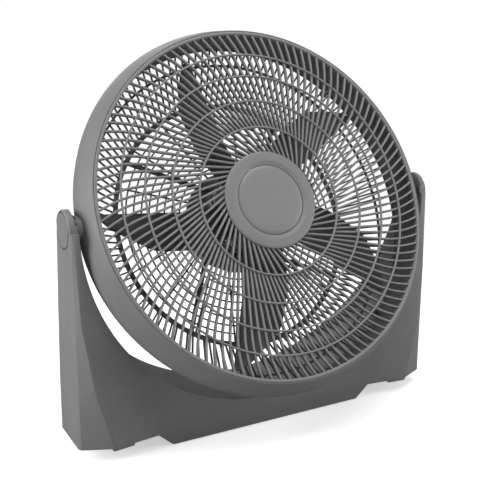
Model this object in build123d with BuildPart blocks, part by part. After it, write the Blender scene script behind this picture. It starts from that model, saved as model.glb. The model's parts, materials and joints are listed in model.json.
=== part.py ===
from build123d import *
import os
from math import asin, cos, degrees, radians, sin, sqrt, tan

# Air circulator fan: a deep round drum that tilts between the two legs of a low, wide base.
# Millimetres and degrees. +X is to the right of someone who faces the fan, +Y runs towards
# its back, +Z is up, and the floor is Z = 0.

# ---- Driving dimensions ----

# Drum as a whole
pivot_height = 306.0        # tilt axis above the floor
pivot_y = -4.37             # tilt axis ahead of the middle of the footprint
tilt_angle = 26.7           # how far the drum looks up
drum_radius = 259.0         # widest radius of the drum's flared wall
wall = 2.8                  # moulded wall of the drum and the base

# Base
cradle_gap = 6.0            # drum to the front lip of the cradle
cradle_step = 3.0           # the cradle is this much wider behind its lip
lip_depth = 24.0            # the lip starts this far ahead of the tilt axis
leg_thickness = 9.0         # leg at the tilt axis
leg_draft = 1.5             # each leg leans out by this much at the floor
leg_top_radius = 26.0
leg_rounding = 1.8          # broken outer edge of the leg's round top
corner_cut = 3.0            # broken upright corners of the base
floor_height = 1.5          # underside of the middle section
wing_height = 20.0          # underside of the wings beside it
skid_depth = 3.2            # low pads under the wings
skid_inner_x = 208.0
skid_outer_x = 239.0
middle_half_width = 151.0   # middle section, at the floor
step_width = 21.0           # slope from the middle section out to the wings
leg_hollow_drop = 44.0      # the legs are solid from this far under the tilt axis

# Base outline at four heights: height, panel, crease (x, y), leg front, leg rear,
# shoulder of the back at shoulder_x, middle of the back. Depths are from the tilt axis.
shoulder_x = 130.0
base_levels = [
    (0.0, -38.5, 231.0, -47.0, -28.0, 49.0, 70.0, 76.0),
    (95.0, -40.0, 257.0, -43.5, -27.5, 47.0, 68.0, 74.0),
    (190.0, -40.0, 270.0, -36.0, -27.0, 39.0, 60.0, 68.0),
    (pivot_height, -39.0, 272.0, -29.0, -26.5, 26.5, 52.0, 60.0),
]
cover_thickness = 3.0       # back cover of the base, deeper than the wall that it lies in
cover_clearance = 0.25
base_boss_half = 5.0
base_screws_at = [(70.0, 21.0), (205.0, 62.0), (262.0, 190.0)]   # x and z, on each side
base_screw_length = 14.0
base_screw_sink = 1.2       # heads sit this deep in the back cover

# Feet
foot_length = 26.0
foot_width = 16.0
foot_seat_depth = 1.0       # recess of the feet in the underside
foot_x = 130.0
foot_front_y = -24.0
foot_rear_y = 56.0

# Tilt pivots
pivot_boss_radius = 17.0
pivot_boss_reach = 3.0      # boss beyond the drum's widest radius
bolt_shoulder_radius = 5.0
bolt_thread_radius = 4.0
bolt_thread_length = 12.0
bolt_head_radius = 9.0
bolt_head_height = 3.0
leg_web = 2.5               # leg left under the bolt's head
running_fit = 0.05          # radial, round shoulder, shafts and stems
washer_radius = 18.0
washer_play = 0.2
cap_radius = 24.0
cap_recess_depth = 3.0
cap_proud = 0.7

# Drum wall and duct, depths forward of the tilt axis
flare_width = 15.4          # widest radius to the mouth
mouth_depth = 40.0
flare_depth = 14.0
flare_drop = 2.0            # widest radius to the flare's outer edge
widest_depth = 4.5
skirt_depth = -12.0         # the wall starts to close in here, towards its rear end
skirt_drop = 3.0
mouth_edge = 1.5            # broken edge of the mouth
seat_depth = 4.0            # front end of the duct, behind the mouth
shell_rear_depth = -22.0
shell_rear_drop = 7.0       # widest radius to the rear end
duct_wall = 2.2

# Front grille
rib_count = 57
rib_width = 2.9
rib_depth = 5.4
rib_front = 39.4            # front of the ribs
ring_width = 2.5
ring_depth = 2.0
ring_radii = [103.1, 140.8, 177.1, 209.0]
rib_sweep = 28.2            # a rib's turn from the disc to the last ring
rib_sweep_rim = 32.2        # and from the disc to the rim
rim_width = 4.6
rim_depth = 8.4
rim_proud = 1.0             # front of the rim ahead of the ribs
opening_margin = 0.6        # openings keep this clear of the disc and the rim
disc_radius = 67.6
disc_front = 42.5
badge_radius = 48.6
badge_clearance = 0.25
snap_count = 6
snap_width = 16.0
snap_depth = 20.0           # rear end of the hooks, forward of the tilt axis
snap_height = 3.0

# Blade
blade_count = 5
blade_start_angle = 31.9    # leading edge of the first blade
blade_tip_gap = 17.5        # duct to blade tips
blade_thickness = 2.4
blade_hollow = 0.08         # camber of a section, as a share of its width
camber_steps = 3
hub_radius = 52.5
hub_front = 10.0
hub_depth = 34.0
hub_wall = 3.0
hub_boss_radius = 10.0
nut_height = 6.5
# Sections square to the leading edge, from the root inside the hub outwards. The root counts
# from the hub's surface and the others from the tip: distance inwards, start beside the
# leading edge's line, width, depth of the leading edge, pitch angle.
blade_root = (22.5, -16.0, 50.0, -19.0, 26.0)
blade_sections = [
    (135.0, 0.0, 57.0, -13.0, 21.0),
    (67.0, 0.0, 55.0, -9.0, 17.0),
    (53.0, 0.0, 46.5, -8.5, 17.0),
    (29.0, 0.0, 33.0, -8.0, 17.0),
    (12.0, 0.0, 21.0, -7.0, 17.0),
    (0.0, 0.0, 6.0, -6.0, 17.0),
]

# Motor and its bracket
shaft_radius = 4.0
shaft_front = 18.0
motor_half_side = 46.0
winding_radius = 37.0
winding_height = 6.0
rotor_slots = 24
motor_front = -35.0
motor_length = 41.0
motor_wall = 3.0
stator_length = 20.0
rotor_radius = 26.0
air_gap = 0.5
bearing_radius = 11.0
bearing_length = 6.5
motor_screw_circle = 41.5
motor_screw_radius = 1.8
bracket_thickness = 2.5
bracket_arm_width = 6.5
bracket_arm_offset = 31.7   # each arm's middle line passes this far from the axis
bracket_arm_heading = 65.2

# Rear guard: a flat back with rings and ribs, and a cone of straight ribs out to the drum
guard_back_ribs = 18
guard_side_ribs = 36
guard_rib_width = 2.2
guard_rib_depth = 3.0
guard_corner_radius = 182.0
guard_band_width = 6.6      # plain band round the back
guard_flange = 3.0
guard_plate_radius = 66.0
guard_hole_radius = 48.0
guard_ring_radii = [107.5, 141.4]
guard_ring_width = 2.4
guard_start_angle = 9.0     # first rib of the back, at the plate
guard_sweep = 8.5           # turn of a rib between the plate and the corner
guard_side_ring_drop = 15.6     # flange to the ring round the cone
guard_lug_radius = 239.5    # screw circle of the four lugs
guard_lug_width = 22.0

# Motor cover, knob, switch and gland
cover_radius = 62.0
cover_length = 38.0
cover_wall = 2.5
cover_screw_circle = 54.5
cover_screw_angles = [90, 210, 330]
cover_boss_half = 3.5
vent_count = 5
vent_spacing = 7.0
vent_middle = -16.0
vent_length = 60.0
vent_width = 3.0
knob_offset = (0.0, 26.0)   # from the drum's axis, right and up
knob_radius = 15.0
knob_length = 14.0
knob_stem_radius = 3.0
knob_gap = 0.8              # knob to the cover
knob_base = 4.0
knob_grip = 8.0             # width of the finger grip
switch_side = 26.0
switch_depth = 18.0
capacitor_place = (-37.0, 18.0)
capacitor_length = 18.0
capacitor_width = 34.0
capacitor_depth = 24.0
gland_radius = 5.5
gland_bore_radius = 3.5
gland_sides = 12

# Small screws
screw_radius = 1.6
screw_head_radius = 3.4
screw_head_height = 2.4
screw_clearance = 0.05
screw_sides = 6

# ---- Values that follow from them ----

lip_radius = drum_radius + cradle_gap
cradle_radius = lip_radius + cradle_step
leg_x = cradle_radius + leg_thickness
base_half_width = leg_x + leg_draft
boss_face_x = drum_radius + pivot_boss_reach
bolt_head_x = cradle_radius + leg_web + washer_play
cap_floor_x = leg_x - cap_recess_depth

mouth_radius = drum_radius - flare_width
duct_radius = mouth_radius + 0.9
duct_outer_radius = duct_radius + duct_wall
shell_rear_radius = drum_radius - shell_rear_drop
rim_radius = mouth_radius - 0.4
rim_inner_radius = rim_radius - rim_width
rib_back = rib_front - rib_depth
blade_tip_radius = duct_radius - blade_tip_gap

motor_rear = motor_front - motor_length
stator_front = (motor_front + motor_rear + stator_length) / 2
stator_rear = stator_front - stator_length
bracket_back = motor_rear - bracket_thickness
bracket_screw_circle = guard_corner_radius - guard_band_width / 2
bracket_arm_angles = [bracket_arm_heading + 90 * turn for turn in range(4)]
bracket_screw_angles = [
    angle - degrees(asin(bracket_arm_offset / bracket_screw_circle)) for angle in bracket_arm_angles
]
guard_flange_back = shell_rear_depth - guard_flange
cover_front = bracket_back - guard_rib_depth
cover_back = cover_front - cover_length

# ---- Frames of reference ----

pivot = Vector(0, pivot_y, pivot_height)
drum = Plane(
    origin=pivot,
    x_dir=(1, 0, 0),
    z_dir=(0, -cos(radians(tilt_angle)), sin(radians(tilt_angle))),
)
drum_axis = Axis(pivot, drum.z_dir)
drum_section = Plane(origin=pivot, x_dir=(1, 0, 0), z_dir=-drum.y_dir)   # x: radius, y: forward
front_view = Plane(origin=(0, pivot_y, 0), x_dir=(1, 0, 0), z_dir=(0, -1, 0))
reach = base_half_width     # far enough to cut right through the base from the tilt axis
ahead = front_view.offset(reach)
BACK = (0, 1, 0)
gland_plane = Plane(
    origin=drum.from_local_coords(Vector(0, 0, cover_front - cover_length / 2)),
    x_dir=drum.x_dir,
    z_dir=-drum.y_dir,
)

os.makedirs("parts", exist_ok=True)


def finish(piece, name):
    """Name a finished piece and write it."""
    piece.label = name
    export_step(piece, f"parts/{name}.step")


def polar(radius, angle):
    """Point of a drum plane, counter-clockwise from +X as seen from the front."""
    return Vector(radius * cos(radians(angle)), radius * sin(radians(angle)))


# ---- Base ----

def cut_corner(before, corner, after, size):
    """Two points that break a corner."""
    corner = Vector(*corner)
    return [corner + (Vector(*end) - corner).normalized() * size for end in (before, after)]


def base_outline(level, inset):
    """Outline of the base at one level, all round, moved inwards by a wall."""
    height, panel_y, crease_x, crease_y, front_y, rear_y, shoulder_y, back_y = level
    side_x = side_x_at(height) - inset
    crease = (crease_x - inset, crease_y + inset)
    front_corner = (side_x, front_y + inset)
    rear_corner = (side_x, rear_y - inset)
    shoulder = (shoulder_x, shoulder_y - inset)
    right = [
        Vector(middle_half_width + step_width, panel_y + inset),
        Vector(*crease),
        *cut_corner(crease, front_corner, rear_corner, corner_cut),
        *cut_corner(front_corner, rear_corner, shoulder, corner_cut),
        Vector(*shoulder),
    ]
    left = [Vector(-point.X, point.Y) for point in reversed(right)]
    return [*right, Vector(0, back_y - inset), *left]


def base_block(inset):
    """Solid between the outlines, to above the tops of the legs."""
    with BuildPart() as block:
        for level in base_levels:
            with BuildSketch(Plane(origin=(0, pivot_y, level[0]))):
                with BuildLine():
                    Polyline(*base_outline(level, inset), close=True)
                make_face()
        loft(ruled=True)
        with BuildSketch(Plane(origin=(0, pivot_y, pivot_height))):
            with BuildLine():
                Polyline(*base_outline(base_levels[-1], inset), close=True)
            make_face()
        extrude(amount=leg_top_radius + wall)
    return block.part


def side_x_at(height):
    """Half width of the base, which leans out a little towards the floor."""
    return base_half_width - leg_draft * height / pivot_height


def front_profile(lift, inset, top):
    """Base seen from the front: stepped lower edge, leaning sides and a level top."""
    wing_bottom = wing_height + lift
    skid_bottom = wing_bottom - skid_depth
    half = [
        Vector(middle_half_width, floor_height + lift),
        Vector(middle_half_width + step_width, wing_bottom),
        Vector(skid_inner_x - 1, wing_bottom),
        Vector(skid_inner_x + 1, skid_bottom),
        Vector(skid_outer_x - 1, skid_bottom),
        Vector(skid_outer_x + 1, wing_bottom),
        Vector(side_x_at(wing_bottom) - inset, wing_bottom),
        Vector(side_x_at(top) - inset, top),
    ]
    with BuildSketch(ahead) as profile:
        with BuildLine():
            Polyline(*half, *[Vector(-point.X, point.Y) for point in reversed(half)], close=True)
        make_face()
    return profile.sketch


def cradle_profile(radius):
    """Seat of the drum seen from the front, open upwards between the legs."""
    with BuildSketch(ahead) as profile:
        with Locations((0, pivot_height)):
            Circle(radius)
            Rectangle(2 * radius, 2 * leg_top_radius + wall, align=(Align.CENTER, Align.MIN))
    return profile.sketch


def hollow_profile(clearance):
    """Inside of the base seen from the front, under the legs' solid tops."""
    inset = wall + clearance
    return front_profile(inset, inset, pivot_height - leg_hollow_drop - clearance) - cradle_profile(
        cradle_radius + inset
    )


def back_depth(x, z):
    """Depth of the base's back face behind the tilt axis."""
    upper = next(level for level in base_levels[1:] if level[0] > z)
    lower = base_levels[base_levels.index(upper) - 1]
    share = (z - lower[0]) / (upper[0] - lower[0])
    rear_y, shoulder_y, back_y = [
        low + (high - low) * share for low, high in zip(lower[5:], upper[5:])
    ]
    side_x = side_x_at(z)
    if abs(x) < shoulder_x:
        return back_y + (shoulder_y - back_y) * abs(x) / shoulder_x
    return shoulder_y + (rear_y - shoulder_y) * (abs(x) - shoulder_x) / (side_x - shoulder_x)


def screw(seat, radius, length, head_radius=screw_head_radius, head_height=screw_head_height):
    """Six-sided screw whose head stands on its seat."""
    with BuildPart() as body:
        with BuildSketch(seat):
            RegularPolygon(head_radius, screw_sides)
        extrude(amount=head_height)
        with BuildSketch(seat):
            RegularPolygon(radius, screw_sides)
        extrude(amount=-length)
    return body.part


def base_screw_seats():
    """Planes under the heads of the base's screws, facing back."""
    return [
        Plane(
            origin=(side * x, pivot_y + back_depth(x, z) - base_screw_sink, z),
            x_dir=(1, 0, 0),
            z_dir=(0, 1, 0),
        )
        for x, z in base_screws_at
        for side in (1, -1)
    ]


def foot_places():
    """Middles of the four feet."""
    depths = (pivot_y + foot_front_y, pivot_y + foot_rear_y)
    return [(side * foot_x, depth) for side in (1, -1) for depth in depths]


def pivot_plane(side, x):
    """Plane square to the tilt axis, facing outwards."""
    return Plane(origin=(side * x, pivot_y, pivot_height), x_dir=(0, 1, 0), z_dir=(side, 0, 0))


# Everything above the tilt axis is trimmed to the legs' round tops.
with BuildPart() as leg_trim:
    with BuildSketch():
        Rectangle(3 * base_half_width, 2 * base_half_width)
    extrude(amount=pivot_height)
    with BuildSketch(front_view):
        with BuildLine():
            leg_top = pivot_height + leg_top_radius
            Polyline(
                (-leg_x, pivot_height),
                (-leg_x, leg_top - leg_rounding),
                (-leg_x + leg_rounding, leg_top),
                (leg_x - leg_rounding, leg_top),
                (leg_x, leg_top - leg_rounding),
                (leg_x, pivot_height),
                close=True,
            )
        make_face()
    revolve(axis=Axis(pivot, (1, 0, 0)))

# Skin of the base's back, as thick as the back cover.
with BuildPart() as back_skin:
    for level in base_levels:
        height, rear_y, shoulder_y, back_y = level[0], *level[5:]
        back = [(side_x_at(height), rear_y), (shoulder_x, shoulder_y), (0, back_y)]
        back += [(-x, y) for x, y in reversed(back[:-1])]
        with BuildSketch(Plane(origin=(0, pivot_y, height))):
            with BuildLine():
                Polyline(*back, *[(x, y - cover_thickness) for x, y in reversed(back)], close=True)
            make_face()
    loft(ruled=True)

# Opening that the back cover fills
with BuildPart() as back_opening:
    add(back_skin.part)
    extrude(hollow_profile(0), amount=2 * reach, dir=BACK, mode=Mode.INTERSECT)

# Hollow of the base, with a column left at each screw
with BuildPart() as base_hollow:
    add(base_block(wall))
    extrude(hollow_profile(0), amount=2 * reach, dir=BACK, mode=Mode.INTERSECT)
    for seat in base_screw_seats():
        with BuildSketch(seat.offset(reach)):
            Rectangle(2 * base_boss_half, 2 * base_boss_half)
        extrude(amount=-2 * reach, mode=Mode.SUBTRACT)

with BuildPart() as base_front_shell:
    add(base_block(0))
    whole_front = front_profile(0, -wall, pivot_height + 2 * leg_top_radius)
    extrude(whole_front, amount=2 * reach, dir=BACK, mode=Mode.INTERSECT)
    add(leg_trim.part, mode=Mode.INTERSECT)
    # Cradle, a little narrower at its front lip
    extrude(cradle_profile(lip_radius), amount=2 * reach, dir=BACK, mode=Mode.SUBTRACT)
    behind_lip = cradle_profile(cradle_radius).moved(Location((0, reach - lip_depth, 0)))
    extrude(behind_lip, amount=2 * reach, dir=BACK, mode=Mode.SUBTRACT)
    # Hollow, with a column left at each screw, and the seat of the back cover
    add(base_hollow.part, mode=Mode.SUBTRACT)
    add(back_opening.part, mode=Mode.SUBTRACT)
    for seat in base_screw_seats():
        with BuildSketch(seat):
            RegularPolygon(screw_radius + screw_clearance, screw_sides)
        extrude(amount=-base_screw_length - 1, mode=Mode.SUBTRACT)
    # Seat of the washer, pivot bore, seat of the bolt's head and recess of the cap in each leg
    for side in (1, -1):
        with BuildSketch(pivot_plane(side, drum_radius)):
            Circle(washer_radius + cover_clearance)
        extrude(amount=cradle_radius - drum_radius, mode=Mode.SUBTRACT)
        with BuildSketch(pivot_plane(side, 0)):
            Circle(bolt_shoulder_radius + running_fit)
        extrude(amount=base_half_width, mode=Mode.SUBTRACT)
        with BuildSketch(pivot_plane(side, cradle_radius + leg_web)):
            Circle(bolt_head_radius + 1)
        extrude(amount=leg_thickness, mode=Mode.SUBTRACT)
        with BuildSketch(pivot_plane(side, cap_floor_x)):
            Circle(cap_radius + cover_clearance)
        extrude(amount=leg_thickness, mode=Mode.SUBTRACT)
    # Shallow seats of the feet
    with BuildSketch():
        with Locations(*foot_places()):
            Rectangle(foot_length + 2 * cover_clearance, foot_width + 2 * cover_clearance)
    extrude(amount=floor_height + foot_seat_depth, mode=Mode.SUBTRACT)
finish(base_front_shell.part, "base_front_shell")

with BuildPart() as base_rear_cover:
    add(back_skin.part)
    extrude(hollow_profile(cover_clearance), amount=2 * reach, dir=BACK, mode=Mode.INTERSECT)
    for seat in base_screw_seats():
        with BuildSketch(seat):
            RegularPolygon(screw_head_radius + cover_clearance, screw_sides)
        extrude(amount=cover_thickness, mode=Mode.SUBTRACT)
        with BuildSketch(seat):
            RegularPolygon(screw_radius + screw_clearance, screw_sides)
        extrude(amount=-cover_thickness, mode=Mode.SUBTRACT)
finish(base_rear_cover.part, "base_rear_cover")

with BuildPart() as base_screws:
    for seat in base_screw_seats():
        add(screw(seat, screw_radius, base_screw_length))
finish(base_screws.part, "base_screws")

with BuildPart() as base_feet:
    with BuildSketch():
        with Locations(*foot_places()):
            Rectangle(foot_length, foot_width)
    extrude(amount=floor_height + foot_seat_depth)
finish(base_feet.part, "base_feet")

# ---- Tilt pivots ----

def pivot_rings(rings):
    """Rings round the tilt axis on both sides: inner x, outer x, radius, bore."""
    with BuildPart() as pair:
        for inner_x, outer_x, radius, bore in rings:
            for side in (1, -1):
                with BuildSketch(pivot_plane(side, inner_x)):
                    Circle(radius)
                    if bore:
                        Circle(bore, mode=Mode.SUBTRACT)
                extrude(amount=outer_x - inner_x)
    return pair.part


pivot_caps = pivot_rings([(cap_floor_x, leg_x + cap_proud, cap_radius, 0)])
pivot_bolts = pivot_rings([
    (boss_face_x - bolt_thread_length, boss_face_x, bolt_thread_radius, 0),
    (boss_face_x, bolt_head_x, bolt_shoulder_radius, 0),
    (bolt_head_x, bolt_head_x + bolt_head_height, bolt_head_radius, 0),
])
pivot_washers = pivot_rings([
    (boss_face_x + washer_play, cradle_radius, washer_radius, bolt_shoulder_radius + 0.4),
])
finish(pivot_caps, "pivot_caps")
finish(pivot_bolts, "pivot_bolts")
finish(pivot_washers, "pivot_washers")


# ---- Drum wall ----

guard_screw_angles = [45 + 90 * turn for turn in range(4)]
shell_inner_radius = shell_rear_radius - wall
boss_depth = 24.0           # bosses on the duct that take the guard's screws
guard_boss_half = duct_radius + duct_wall / 2 - guard_lug_radius
with BuildPart() as drum_shroud:
    with BuildSketch(drum_section):
        with BuildLine():
            Polyline(
                (mouth_radius, mouth_depth - mouth_edge),
                (mouth_radius + mouth_edge, mouth_depth),
                (drum_radius - flare_drop, flare_depth),
                (drum_radius, widest_depth),
                (drum_radius - skirt_drop, skirt_depth),
                (shell_rear_radius, shell_rear_depth),
                (shell_inner_radius, shell_rear_depth),
                (drum_radius - wall - 0.5, widest_depth),
                (drum_radius - flare_drop - wall, flare_depth - 1),
                (duct_outer_radius, flare_depth + 15),
                (duct_outer_radius, shell_rear_depth),
                (duct_radius, shell_rear_depth),
                (duct_radius, mouth_depth - seat_depth),
                (mouth_radius, mouth_depth - mouth_edge),
            )
        make_face()
    revolve(axis=drum_axis)
    # Bosses of the tilt pivots, with their threads
    for side in (1, -1):
        with BuildSketch(pivot_plane(side, duct_radius + duct_wall / 2)):
            Circle(pivot_boss_radius)
        extrude(amount=boss_face_x - duct_radius - duct_wall / 2)
        with BuildSketch(pivot_plane(side, boss_face_x - bolt_thread_length - 1)):
            Circle(bolt_thread_radius + running_fit)
        extrude(amount=bolt_thread_length + 1, mode=Mode.SUBTRACT)
    # Bosses inside the duct for the screws of the rear guard
    with BuildSketch(drum.offset(shell_rear_depth)):
        for angle in guard_screw_angles:
            with Locations(Location(polar(guard_lug_radius, angle), (0, 0, 1), angle)):
                Rectangle(2 * guard_boss_half, 2 * guard_boss_half)
    extrude(amount=boss_depth)
    with BuildSketch(drum.offset(shell_rear_depth)):
        for angle in guard_screw_angles:
            with Locations(Location(polar(guard_lug_radius, angle))):
                RegularPolygon(screw_radius + screw_clearance, screw_sides)
    extrude(amount=boss_depth - 4, mode=Mode.SUBTRACT)
    # Windows for the snap hooks of the front grille
    with BuildSketch(drum.offset(snap_depth)):
        with PolarLocations(duct_radius + duct_wall / 2, snap_count, 15):
            Rectangle(duct_wall + 2, snap_width + 1)
    extrude(amount=snap_height + 0.6, mode=Mode.SUBTRACT)
finish(drum_shroud.part, "drum_shroud")


# ---- Front grille ----

def at_radius(start, heading, radius):
    """Where a line that heads outwards reaches a radius."""
    along = start.dot(heading)
    return start + heading * (sqrt(along**2 - start.dot(start) + radius**2) - along)


def rib_line(angle, offset):
    """One edge of a rib: its points on the disc, the ring where it bends and the rim."""
    start = polar(disc_radius, angle)
    bend = polar(ring_radii[-1], angle + rib_sweep)
    end = polar(rim_inner_radius, angle + rib_sweep_rim)
    first = (bend - start).normalized()
    second = (end - bend).normalized()
    sideways = Vector(-first.Y, first.X)
    turned = Vector(-second.Y, second.X)
    corner = bend + (sideways + turned) * (offset / (1 + sideways.dot(turned)))
    return start + sideways * offset, first, corner, second


def grille_opening(angle, pitch, inner_radius, outer_radius, bends):
    """Gap between two neighbouring ribs and two rings."""
    right_start, right_first, right_corner, right_second = rib_line(angle, rib_width / 2)
    left_start, left_first, left_corner, left_second = rib_line(angle + pitch, -rib_width / 2)
    right = [at_radius(right_start, right_first, inner_radius)]
    left = [at_radius(left_start, left_first, inner_radius)]
    if bends:
        right += [right_corner, at_radius(right_corner, right_second, outer_radius)]
        left += [left_corner, at_radius(left_corner, left_second, outer_radius)]
    else:
        right.append(at_radius(right_start, right_first, outer_radius))
        left.append(at_radius(left_start, left_first, outer_radius))
    return [*right, *reversed(left)]


def pierced(radius, openings):
    """Round plate with many-sided openings."""
    return Face(Wire.make_circle(radius), [Wire.make_polygon(points) for points in openings])


pitch = 360 / rib_count
split_ring = ring_radii[0]
with BuildPart() as front_grille:
    # Every rib runs from the disc to the rim, with one more between each two outside ring one.
    openings = []
    for rib in range(rib_count):
        inner_ring = split_ring - ring_width / 2
        outer_ring = split_ring + ring_width / 2
        openings.append(grille_opening(rib * pitch, pitch, disc_radius, inner_ring, False))
        for half in (0, pitch / 2):
            openings.append(
                grille_opening(rib * pitch + half, pitch / 2, outer_ring, rim_inner_radius, True)
            )
    with BuildSketch(drum.offset(rib_back)):
        add(pierced(rim_radius, openings))
    extrude(amount=rib_depth)
    # Rim
    with BuildSketch(drum.offset(rib_front + rim_proud - rim_depth)):
        Circle(rim_radius)
        Circle(rim_inner_radius + opening_margin, mode=Mode.SUBTRACT)
    extrude(amount=rim_depth)
    # Disc, with the seat of the badge
    with BuildSketch(drum.offset(rib_front)):
        Circle(disc_radius - opening_margin)
        Circle(badge_radius + badge_clearance, mode=Mode.SUBTRACT)
    extrude(amount=disc_front - rib_front)
    # Snap hooks that reach into the windows of the duct
    with BuildSketch(drum.offset(snap_depth + 0.3)):
        with PolarLocations(rim_radius - 1.5, snap_count, 15):
            Rectangle(2, snap_width)
    extrude(amount=rib_front + rim_proud - rim_depth - snap_depth)
    with BuildSketch(drum.offset(snap_depth + 0.3)):
        with PolarLocations(rim_radius, snap_count, 15):
            Rectangle(3, snap_width)
    extrude(amount=snap_height)
# Outer rings, laid on the front of the ribs
with BuildPart() as grille_rings:
    for radius in ring_radii[1:]:
        with BuildSketch(drum.offset(rib_front)):
            RegularPolygon(radius + ring_width / 2, rib_count)
            RegularPolygon(radius - ring_width / 2, rib_count, mode=Mode.SUBTRACT)
        extrude(amount=ring_depth)
finish(Compound(children=[*front_grille.solids(), *grille_rings.solids()]), "front_grille")

with BuildPart() as centre_badge:
    with BuildSketch(drum.offset(rib_front)):
        Circle(badge_radius)
    extrude(amount=disc_front - rib_front)
finish(centre_badge.part, "centre_badge")


# ---- Blade and rotor ----

def blade_section(radius, start, width, depth, pitch_angle):
    """Hollowed strip square to the leading edge, which lies along +X."""
    rise = tan(radians(pitch_angle))
    back = []
    for step in range(camber_steps + 1):
        share = step / camber_steps
        hollow = 4 * blade_hollow * width * share * (1 - share)
        back.append(Vector(share * width, share * width * rise - hollow))
    front = [point + Vector(0, blade_thickness) for point in reversed(back)]
    place = Plane(origin=(radius, start, depth), x_dir=(0, 1, 0), z_dir=(1, 0, 0))
    with BuildSketch(place) as section:
        with BuildLine():
            Polyline(*back, *front, close=True)
        make_face()
    return section.sketch


with BuildPart() as one_blade:
    add(blade_section(hub_radius - blade_root[0], *blade_root[1:]))
    for inwards, *section in blade_sections:
        add(blade_section(blade_tip_radius - inwards, *section))
    loft(ruled=True)

with BuildPart(drum) as fan_blade:
    with BuildSketch(drum.offset(hub_front - hub_depth)):
        Circle(hub_radius)
    extrude(amount=hub_depth)
    with BuildSketch(drum.offset(hub_front - hub_depth)):
        Circle(hub_radius - hub_wall)
        Circle(hub_boss_radius, mode=Mode.SUBTRACT)
    extrude(amount=hub_depth - hub_wall, mode=Mode.SUBTRACT)
    with PolarLocations(0, blade_count, blade_start_angle):
        add(one_blade.part)
    # Hollow of the hub and bore of its boss
    with BuildSketch(drum.offset(hub_front - hub_depth - hub_depth)):
        Circle(hub_radius - hub_wall)
        Circle(hub_boss_radius, mode=Mode.SUBTRACT)
    extrude(amount=2 * hub_depth - hub_wall, mode=Mode.SUBTRACT)
    with BuildSketch(drum.offset(hub_front - hub_depth)):
        Circle(shaft_radius + running_fit / 2)
    extrude(amount=hub_depth, mode=Mode.SUBTRACT)
finish(fan_blade.part, "fan_blade")

with BuildPart() as blade_nut:
    with BuildSketch(drum.offset(hub_front)):
        RegularPolygon(2 * shaft_radius, 6)
        Circle(shaft_radius + running_fit / 2, mode=Mode.SUBTRACT)
    extrude(amount=nut_height)
finish(blade_nut.part, "blade_nut")

with BuildPart() as motor_shaft:
    with BuildSketch(drum.offset(motor_rear + 1)):
        Circle(shaft_radius)
    extrude(amount=shaft_front - motor_rear - 1)
finish(motor_shaft.part, "motor_shaft")

with BuildPart() as rotor_core:
    with BuildSketch(drum.offset(stator_rear)):
        RegularPolygon(rotor_radius, rotor_slots)
        Circle(shaft_radius + running_fit / 2, mode=Mode.SUBTRACT)
    extrude(amount=stator_length)
finish(rotor_core.part, "rotor_core")


# ---- Motor ----

def cut_square(half_side):
    """Square with broken corners, as laminations and end plates have."""
    cut = half_side / 3
    points = [(half_side, half_side - cut), (half_side - cut, half_side)]
    points += [(-x, y) for x, y in reversed(points)]
    return [*points, *[(-x, -y) for x, y in points]]


def motor_screw_points():
    """Corners where the long screws of the motor run."""
    return [polar(motor_screw_circle, angle) for angle in guard_screw_angles]


def motor_block(rear, length):
    """Square block of the motor with its screw holes."""
    with BuildPart() as block:
        with BuildSketch(drum.offset(rear)):
            with BuildLine():
                Polyline(*cut_square(motor_half_side), close=True)
            make_face()
            with Locations(*motor_screw_points()):
                RegularPolygon(motor_screw_radius + screw_clearance, screw_sides, mode=Mode.SUBTRACT)
        extrude(amount=length)
    return block.part


with BuildPart() as stator_core:
    add(motor_block(stator_rear, stator_length))
    with BuildSketch(drum.offset(stator_rear)):
        RegularPolygon(rotor_radius + air_gap + 0.5, rotor_slots)
    extrude(amount=stator_length, mode=Mode.SUBTRACT)
finish(stator_core.part, "stator_core")

with BuildPart() as stator_winding:
    for rear in (stator_front, stator_rear - winding_height):
        with BuildSketch(drum.offset(rear)):
            RegularPolygon(winding_radius, rotor_slots)
            RegularPolygon(rotor_radius + air_gap + 1.5, rotor_slots, mode=Mode.SUBTRACT)
        extrude(amount=winding_height)
finish(stator_winding.part, "stator_winding")

# Each end bell is a cast cap with four legs on the stator and a seat for its bearing.
for name, end, stator_end in (
    ("front", motor_front, stator_front),
    ("rear", motor_rear, stator_rear),
):
    inwards = 1 if stator_end > end else -1
    depth = abs(stator_end - end)
    with BuildPart() as bell:
        with BuildSketch(drum.offset(end)):
            with BuildLine():
                Polyline(*cut_square(motor_half_side), close=True)
            make_face()
        extrude(amount=inwards * depth)
        with BuildSketch(drum.offset(end + inwards * motor_wall)):
            Rectangle(2 * motor_half_side - 20, 2 * motor_half_side + 1)
            Rectangle(2 * motor_half_side + 1, 2 * motor_half_side - 20)
        extrude(amount=inwards * (depth - motor_wall), mode=Mode.SUBTRACT)
        with BuildSketch(drum.offset(end)):
            RegularPolygon(bearing_radius + motor_wall, 8)
        extrude(amount=inwards * (motor_wall + bearing_length))
        with BuildSketch(drum.offset(end)):
            RegularPolygon(bearing_radius + screw_clearance, 8)
        extrude(amount=inwards * (motor_wall + bearing_length), mode=Mode.SUBTRACT)
        with BuildSketch(drum.offset(end)):
            with Locations(*motor_screw_points()):
                RegularPolygon(motor_screw_radius + screw_clearance, screw_sides)
        extrude(amount=inwards * depth, mode=Mode.SUBTRACT)
    finish(bell.part, f"motor_{name}_housing")
    with BuildPart() as bearing:
        with BuildSketch(drum.offset(end + inwards * 1.5)):
            RegularPolygon(bearing_radius, 8)
            Circle(shaft_radius + running_fit, mode=Mode.SUBTRACT)
        extrude(amount=inwards * (motor_wall + bearing_length - 1.5))
    finish(bearing.part, f"{name}_bearing")

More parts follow.
